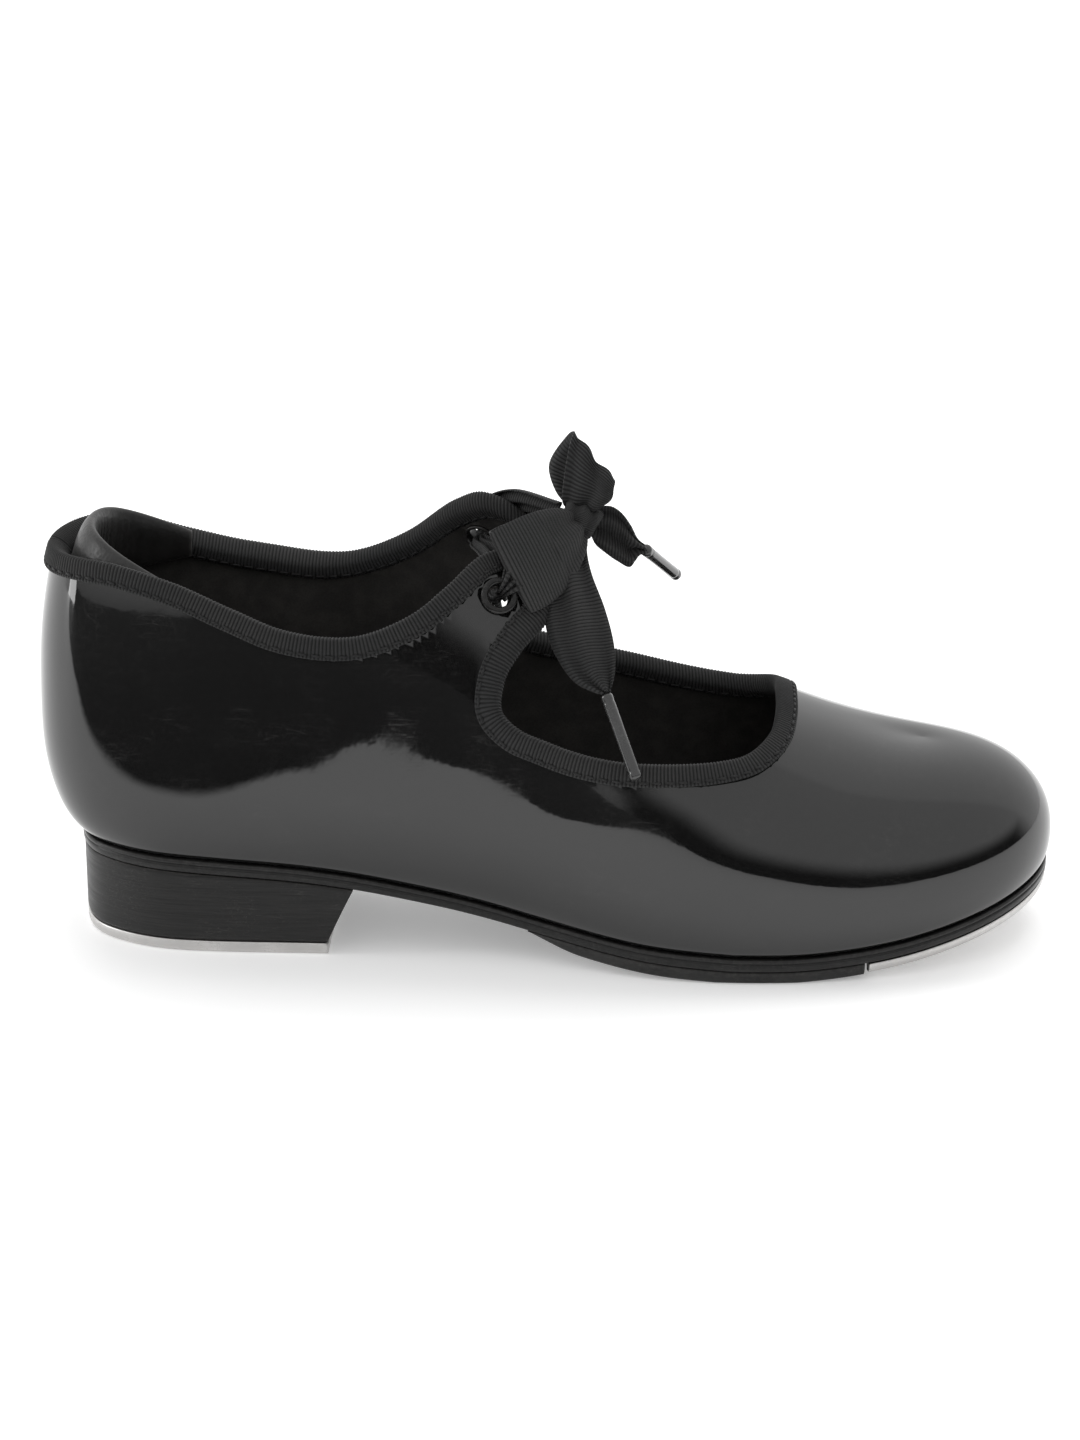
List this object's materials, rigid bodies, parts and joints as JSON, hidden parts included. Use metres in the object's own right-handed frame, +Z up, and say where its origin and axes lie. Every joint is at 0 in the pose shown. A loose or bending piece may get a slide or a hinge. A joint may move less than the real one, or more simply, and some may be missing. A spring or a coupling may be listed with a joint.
{
  "type": "tap shoe",
  "caption": "Ribbon-tied tap shoe for the right foot: glossy black upper, low stacked heel, metal taps at heel and toe, rubber ball pad.",
  "frame": {"origin": "centre of the heel tap's flat underside, on the floor", "axes": "+X from heel to toe, +Y to the inner side of the foot, +Z up from the floor"},
  "size_m": [0.2499, 0.0825, 0.126],
  "materials": {
    "patent_upper": "high-gloss patent, plain back",
    "lining_cloth": "matte dark twill, turned edge",
    "ribbon_grosgrain": "matte charcoal ribbed ribbon",
    "collar_padding": "soft padded synthetic, satin",
    "stiffener": "resin-stiffened felt",
    "fibre_board": "brown fibre board",
    "sock_cloth": "dark foam-backed cloth",
    "sole_rubber": "satin black sole unit",
    "pad_rubber": "fine-grained non-slip rubber",
    "stacked_heel": "dark stacked layers, waxed",
    "cork_filler": "granulated cork",
    "shank_steel": "spring steel",
    "fastener_steel": "zinc-plated",
    "tap_aluminium": "satin, tumbled edge",
    "eyelet_black": "black lacquered",
    "aglet_plastic": "moulded tip, satin"
  },
  "bodies": {
    "shoe": {"upper": "patent_upper", "lining": "lining_cloth", "topline_binding": "ribbon_grosgrain", "heel_collar": "collar_padding", "heel_counter": "stiffener", "insole_board": "fibre_board", "sock_liner": "sock_cloth", "shank": "shank_steel", "bottom_filler": "cork_filler", "outsole": "sole_rubber", "ball_pad": "pad_rubber", "heel_block": "stacked_heel", "heel_tap": "tap_aluminium", "eyelet_lateral": "eyelet_black", "eyelet_medial": "eyelet_black", "bow_knot": "ribbon_grosgrain", "bow_loop_top": "ribbon_grosgrain", "bow_loop_lateral": "ribbon_grosgrain", "ribbon_run_lateral": "ribbon_grosgrain", "ribbon_run_medial": "ribbon_grosgrain", "ribbon_cross_run": "ribbon_grosgrain", "heel_tap_screw_1": "fastener_steel", "heel_tap_screw_2": "fastener_steel", "heel_tap_screw_3": "fastener_steel", "heel_nail_1": "fastener_steel", "heel_nail_2": "fastener_steel", "heel_nail_3": "fastener_steel", "heel_nail_4": "fastener_steel", "heel_nail_5": "fastener_steel"},
    "forefoot": {"toe_tap": "tap_aluminium", "toe_tap_screw_1": "fastener_steel", "toe_tap_screw_2": "fastener_steel", "toe_tap_screw_3": "fastener_steel", "toe_puff": "stiffener"},
    "tail_front": {"ribbon_tail_front": "ribbon_grosgrain", "aglet_front": "aglet_plastic"},
    "tail_back": {"ribbon_tail_back": "ribbon_grosgrain", "aglet_back": "aglet_plastic"}
  },
  "joints": [
    {"name": "ball_flex", "type": "hinge", "parent": "shoe", "child": "forefoot", "pos_m": [0.118, 0, 0.006], "axis": [0, -1, 0], "range_deg": [0, 28], "stiffness_Nm_per_rad": 3, "deforming": ["upper", "lining", "topline_binding", "insole_board", "sock_liner", "bottom_filler", "outsole", "ball_pad"]},
    {"name": "tail_front_swing", "type": "hinge", "parent": "shoe", "child": "tail_front", "pos_m": [0.0929, -0.0072, 0.1024], "axis": [-1, 0, 0], "range_deg": [0, 50]},
    {"name": "tail_back_swing", "type": "hinge", "parent": "shoe", "child": "tail_back", "pos_m": [0.0966, -0.004, 0.105], "axis": [0, -1, 0], "range_deg": [-20, 30], "stiffness_Nm_per_rad": 0.003}
  ]
}
